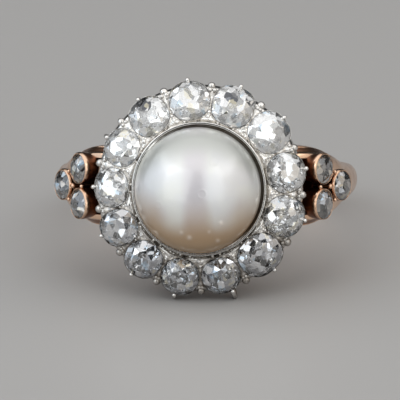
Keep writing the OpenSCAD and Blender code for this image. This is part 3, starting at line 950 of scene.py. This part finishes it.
def band(piece):
    """Hoop as one sweep of its section round the finger hole. Across the section, a from -w
    to w, the outside is r = in + (out - in) (1 - |a / w|^k)^(1 / k). Between the rails the
    outside falls to the slot's floor, and a shallow channel runs along each rail. The slot's
    floor and the channels are darkened with painted shade, and the hoop's sides with a
    painted dark reflection."""
    angle = np.radians(np.concatenate([
        np.arange(0, 60, 0.75), np.arange(60, 300, 2.5), np.arange(300, 360, 0.75),
    ]))
    from_head = np.degrees(np.minimum(angle, TURN - angle))
    w, outer, k = hermite(from_head, BAND).T[:, :, None]
    slot = SLOT_W / 2 / HEAD_HALF_W
    share = np.concatenate([
        np.sin(np.radians(np.linspace(90, 55, 12))), np.linspace(0.8, slot + 0.035, 7),
        np.linspace(slot + 0.025, slot - 0.03, 8), np.linspace(0.6, 0.0, 6),
    ])
    share = np.concatenate([share, -share[-2::-1]])
    a = w * share
    top = BAND_IN + (outer - BAND_IN) * (1 - abs(share) ** k) ** (1 / k)
    between = smoothstep(slot + 0.02, slot - 0.025, abs(share))
    between = between * smoothstep(43.5, 39.5, from_head)[:, None]
    channel = smoothstep(0.80, 0.84, abs(share)) * smoothstep(0.97, 0.93, abs(share))
    channel = channel * smoothstep(56, 44, from_head)[:, None] * 0.2
    r = top * (1 - between) + np.minimum(top, SLOT_FLOOR_R) * between - channel
    inside = np.linspace(-1, 1, 13)[1:-1]
    inside_r = FINGER_R + 0.12 * smoothstep(0.8, 1.0, abs(inside)) + 0 * w
    a = np.concatenate([a, w * inside], 1)
    r = np.concatenate([r, inside_r], 1)
    p = angle[:, None]
    points = np.stack([r * np.sin(p), a, r * np.cos(p)], -1)
    well = smoothstep(RIM_R + 0.12, RIM_R + 0.04, np.hypot(points[..., 0], points[..., 1]))
    low = np.minimum(points[..., 2], PLATE_N - 0.9)
    points[..., 2] = points[..., 2] * (1 - well) + low * well
    # Painted dark reflection: the hoop's sides are darkened.
    wear_and_shade = 0.35 * smoothstep(40, 60, from_head)[:, None] * smoothstep(110, 85, from_head)[:, None]
    # Painted shade on the slot's floor and in the channels; the inside is evenly light.
    grime_and_shade = np.concatenate([between * 1.1 + channel * 4 + wear_and_shade, 0.1 + 0 * inside_r], 1)
    piece.grid(points, loop_u=True, grime_and_shade=grime_and_shade)


def gallery_ring(piece):
    """Plain ring that joins the rails' ends under the plate."""
    inner, outer, low = 4.35, 5.75, HEAD_SEAT - 0.45
    profile = eased([
        (inner, low + 0.2, 0), (inner, low, 0.1), (outer, low, 0.15), (outer, HEAD_SEAT, 0.1),
        (inner, HEAD_SEAT, 0.1), (inner, low + 0.2, 0),
    ])[:-1]
    # Evenly darkened under the plate: tarnish and painted shade.
    piece.grid(revolve(profile, GALLERY_SIDES), loop_u=True, grime_and_shade=0.4)


def at_trefoil(points, side):
    """Trefoil's frame (away from the head, up the finger, out of the stones) to the head's:
    turned by the lean about A, moved to the shoulder and mirrored to its side."""
    x, y, z = np.moveaxis(np.asarray(points, float), -1, 0)
    c, s = math.cos(TREFOIL_LEAN), math.sin(TREFOIL_LEAN)
    return np.stack([side * (TREFOIL_X + c * x + s * z), y, TREFOIL_N - s * x + c * z], -1)


CUP_SIDES = 56
GRAIN_SIDES = 16
STEM_R = 0.17


def trefoil_cup(wide, proud):
    """Cup of a shoulder stone, its lip so wide and standing so proud of the stone's edge."""
    seat = SMALL_R + STONE_GAP
    cup_r = seat + 0.12
    return revolve(eased([
        (0.0, -1.25, 0), (cup_r * 0.74, -1.25, 0.05), (seat + 0.05 + wide * 0.6, -0.25, 0.15),
        (seat + 0.03 + wide, -0.04, 0.04), (seat + 0.02 + wide * 0.6, proud * 0.8, 0.02),
        (seat + 0.005, proud, 0.02), (seat - proud * 0.35, proud * 0.7, 0.01),
        (seat, -0.01, 0.01), (seat, -0.06, 0.01), (SMALL_R * 0.16, -0.78, 0.05), (0.0, -0.78, 0),
    ]), CUP_SIDES)


def trefoils(piece):
    """Thin cup under each shoulder stone, the grains between the cups and the stem of the
    middle grain. Round each cup the lip goes over from a low thin one to a proud wide one
    towards the head's upper side. Cup walls, grains and stem are darkened with painted shade."""
    upper = smoothstep(-0.3, 0.9, np.cos(circle(CUP_SIDES) - math.radians(145)))[:, None]
    cup = trefoil_cup(0.0, 0.035) * (1 - upper) + trefoil_cup(0.09, 0.11) * upper
    # Painted shade: cup walls are darker downwards and on the side away from the head's upper side.
    cup_grime_and_shade = smoothstep(0.02, -0.25, cup[..., 2]) + 0.25 * (1 - upper[:, 0])
    near, far = -SMALL_PITCH * math.sqrt(3) / 6, SMALL_PITCH * math.sqrt(3) / 3
    cups = [(near, SMALL_PITCH / 2), (near, -SMALL_PITCH / 2), (far, 0.0)]
    corner = SMALL_PITCH * 0.46
    grains = [(0.0, 0.0, STEM_R)] + [
        (corner * math.cos(p), corner * math.sin(p), 0.13) for p in np.radians([-60, 60, 180])
    ]
    # Painted shade: grains are darker towards their foot, and the stem is dark.
    grime_and_shade = 0.15 + 0.85 * np.linspace(0, 1, ball_rows(GRAIN_SIDES))[:, None] ** 2
    stem = rod([[0, 0, -1.2], [0, 0, -0.6], [0, 0, 0]], [STEM_R] * 3, [1, 0, 0])
    for side in (-1, 1):
        for x, y in cups:
            piece.grid(at_trefoil(cup + [x, y, 0], side), capped=False, grime_and_shade=cup_grime_and_shade)
        for x, y, size in grains:
            grain = ball([x, y, 0.0], size, GRAIN_SIDES)
            piece.grid(at_trefoil(grain, side), capped=False, grime_and_shade=grime_and_shade)
        piece.grid(at_trefoil(stem, side), grime_and_shade=0.8)


def shank():
    """Band, gallery ring and trefoil cups as one piece."""
    piece = Casting("rose_gold_shank")
    band(piece)
    gallery_ring(piece)
    trefoils(piece)
    piece.made(rose_gold, ["shank"])


pearl()
pearl_collet()
cluster_setting()
shank()


# Floor, light and camera


# Distances in metres, angles in degrees, lens and sensor in millimetres
FLOOR_HALF = 1.5
PANEL_AWAY = 0.45
CAMERA_AWAY = 0.36
CAMERA_AT = (2.5, 19.7)
CAMERA_ROLL = -0.7
LENS = 529
SENSOR = 36


def floor():
    """Plain pale floor."""
    mesh = bpy.data.meshes.new("floor")
    corners = [(x * FLOOR_HALF, y * FLOOR_HALF, 0) for x, y in ((-1, -1), (1, -1), (1, 1), (-1, 1))]
    mesh.from_pydata(corners, [], [(0, 1, 2, 3)])
    mesh.materials.append(board)
    piece = bpy.data.objects.new("floor", mesh)
    bpy.context.scene.collection.objects.link(piece)


# The camera and the panels face this point
FOCUS = to_shared([0.051, -0.676, 12.65])


def direction(azimuth, elevation):
    """Unit vector from the head; azimuth 0 is towards the front and 90 to the right."""
    a, e = math.radians(azimuth), math.radians(elevation)
    return np.array([math.sin(a) * math.cos(e), -math.cos(a) * math.cos(e), math.sin(e)])


def softbox(name, azimuth, elevation, spread, rise, radiance, colour=(1, 1, 1)):
    """Area light that faces the head and fills spread by rise degrees as seen from it."""
    width, height = (2 * PANEL_AWAY * math.tan(math.radians(angle / 2)) for angle in (spread, rise))
    light = bpy.data.lights.new(name, "AREA")
    light.shape = "RECTANGLE"
    light.size, light.size_y = width, height
    light.energy = radiance * math.pi * width * height
    light.color = colour
    lamp = bpy.data.objects.new(name, light)
    way = direction(azimuth, elevation)
    lamp.location = FOCUS + PANEL_AWAY * way
    lamp.rotation_euler = Vector(-way).to_track_quat("-Z", "Y").to_euler()
    bpy.context.scene.collection.objects.link(lamp)


def lights():
    """Bright panels beside the camera, softer ones at the sides, one overhead, one behind and
    a dim room."""
    softbox("left_panel", -36, 23, 40, 48, 1.5, (0.96, 0.99, 1.0))
    softbox("left_side_panel", -84, 23, 56, 46, 0.95, (0.82, 0.91, 1.0))
    softbox("right_panel", 27, 23, 32, 48, 1.42, (0.96, 0.99, 1.0))
    softbox("right_side_panel", 73, 23, 60, 46, 0.75, (1.0, 0.94, 0.86))
    softbox("top_panel", 0, 82, 110, 72, 1.12)
    softbox("back_panel", 180, 52, 110, 20, 0.7)
    world = bpy.data.worlds.new("room")
    bpy.context.scene.world = world
    world.use_nodes = True
    room = world.node_tree.nodes["Background"]
    room.inputs["Color"].default_value = (0.75, 0.78, 0.82, 1)
    room.inputs["Strength"].default_value = 0.05
    bpy.context.scene.view_settings.view_transform = "Standard"


def camera():
    """Long lens a little above the head's axis, turned slightly about its own axis."""
    lens = bpy.data.cameras.new("camera")
    lens.lens = LENS
    lens.sensor_width = SENSOR
    lens.clip_start = 0.01
    view = bpy.data.objects.new("camera", lens)
    way = direction(*CAMERA_AT)
    view.location = FOCUS + CAMERA_AWAY * way
    level = Vector(-way).to_track_quat("-Z", "Y")
    rolled = level @ Quaternion((0, 0, 1), math.radians(CAMERA_ROLL))
    view.rotation_euler = rolled.to_euler()
    bpy.context.scene.collection.objects.link(view)
    bpy.context.scene.camera = view


floor()
lights()
camera()
